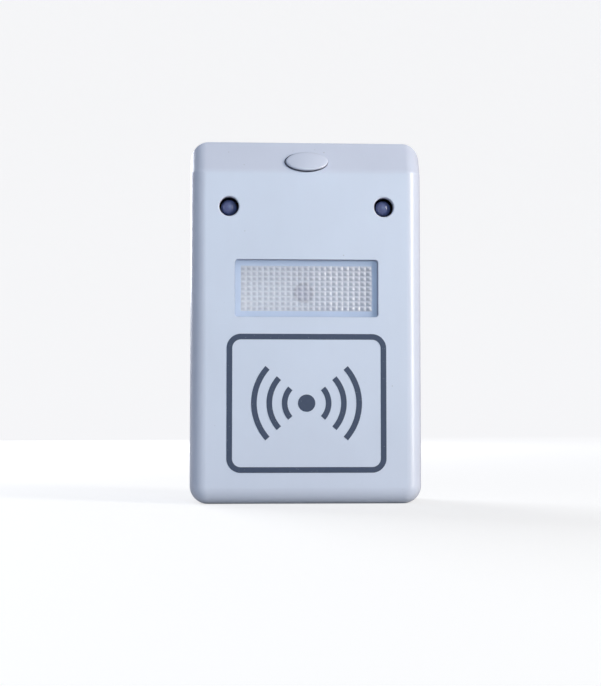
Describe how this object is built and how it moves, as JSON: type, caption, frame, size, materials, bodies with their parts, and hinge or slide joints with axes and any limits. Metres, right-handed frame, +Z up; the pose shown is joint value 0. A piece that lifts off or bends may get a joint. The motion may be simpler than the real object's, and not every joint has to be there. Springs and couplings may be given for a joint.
{
  "type": "ultrasonic pest repeller",
  "caption": "Plug-in pest repeller: rounded white case with bevelled top, oval push button, indicator lights, ribbed night-light window and wall-plug blades.",
  "frame": {"origin": "on the back face, midway between the two plug blades", "axes": "+Z up; the front faces -Y and the blades point along +Y; +X to the right seen from the front"},
  "size_m": [0.07, 0.0565, 0.11],
  "materials": {
    "case_white": "satin injection-moulded ABS, slightly blue white",
    "lens_clear": "clear moulded acrylic with a fine prism pattern",
    "reflector_white": "smooth bright white plastic",
    "ink": "dark slate pad-printing ink",
    "led_clear": "water-clear epoxy",
    "label_white": "plain white label stock",
    "tinned_steel": "bright tinned or zinc-plated metal",
    "plug_brass": "bright rolled brass",
    "piezo_brass": "thin polished brass disc",
    "piezo_ceramic": "silvered ceramic",
    "copper_wire": "lacquered copper wire",
    "ferrite": "sintered ferrite",
    "board_laminate": "phenolic paper board",
    "black_plastic": "black moulding compound",
    "grey_plastic": "grey glass-filled nylon",
    "nylon_natural": "natural nylon",
    "film_yellow": "yellow potting box",
    "sleeve_blue": "dark blue shrink sleeve",
    "varistor_blue": "blue epoxy dip",
    "fuse_brown": "brown moulded case",
    "resistor_tan": "tan lacquer",
    "wire_black": "black PVC insulation",
    "wire_white": "white PVC insulation",
    "wire_red": "red PVC insulation"
  },
  "bodies": {
    "case": {"front_cover": "case_white", "rear_cover": "case_white", "night_light_lens": "lens_clear", "light_reflector": "reflector_white", "printed_emblem": "ink", "switch_body": "black_plastic", "switch_spring": "tinned_steel", "switch_pins": "tinned_steel", "power_led": "led_clear", "pulse_led": "led_clear", "night_light_led": "led_clear", "led_leads": "tinned_steel", "led_spacers": "nylon_natural", "circuit_board": "board_laminate", "solder_joints": "tinned_steel", "film_capacitor": "film_yellow", "electrolytic_capacitors": "sleeve_blue", "rectifier_diodes": "black_plastic", "resistors": "resistor_tan", "varistor": "varistor_blue", "fuse": "fuse_brown", "timer_chip": "black_plastic", "triac": "black_plastic", "coil_bobbin": "grey_plastic", "coil_winding": "copper_wire", "coil_core": "ferrite", "sounder_housing": "black_plastic", "piezo_plate": "piezo_brass", "piezo_ceramic": "piezo_ceramic", "sounder_wires": "wire_red", "live_blade": "plug_brass", "neutral_blade": "plug_brass", "blade_retainer": "grey_plastic", "retainer_screws": "tinned_steel", "cover_screws": "tinned_steel", "board_screws": "tinned_steel", "live_wire": "wire_black", "neutral_wire": "wire_white", "rating_label": "label_white"},
    "button": {"button_cap": "case_white", "switch_plunger": "nylon_natural"}
  },
  "joints": [
    {"name": "button_press", "type": "slide", "parent": "case", "child": "button", "axis": [0, 1, 0], "range_m": [0, 0.0015], "stiffness_N_per_m": 500, "springref_m": -0.001, "deforming": ["switch_spring"]}
  ]
}
